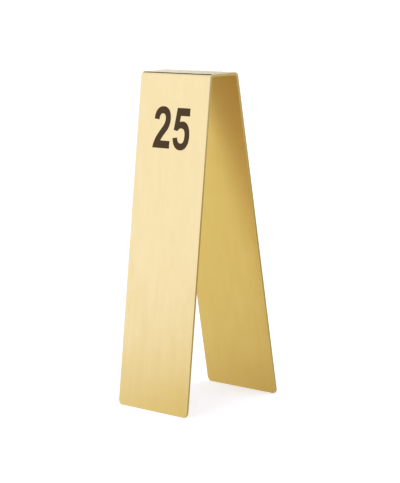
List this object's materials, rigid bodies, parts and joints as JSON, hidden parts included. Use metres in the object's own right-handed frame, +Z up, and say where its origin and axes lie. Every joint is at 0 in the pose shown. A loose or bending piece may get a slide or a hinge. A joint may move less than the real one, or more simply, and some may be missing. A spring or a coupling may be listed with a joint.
{
  "type": "table number stand",
  "caption": "Self-standing table number: a metal strip folded into leaning legs joined by a narrow bridge, with dark numerals filled into its faces.",
  "frame": {"origin": "on the table, midway between the two feet and across the strip", "axes": "+Z up, X across the strip, the front leg towards -Y and the rear leg towards +Y"},
  "size_m": [0.044, 0.06, 0.151],
  "materials": {
    "gold_sheet": "satin, faint lengthwise brushing",
    "numeral_enamel": "matte dark brown enamel, flush with the face"
  },
  "bodies": {
    "root": {"folded_sheet": "gold_sheet", "front_numeral_two": "numeral_enamel", "front_numeral_five": "numeral_enamel", "rear_numeral_two": "numeral_enamel", "rear_numeral_five": "numeral_enamel"}
  },
  "joints": []
}
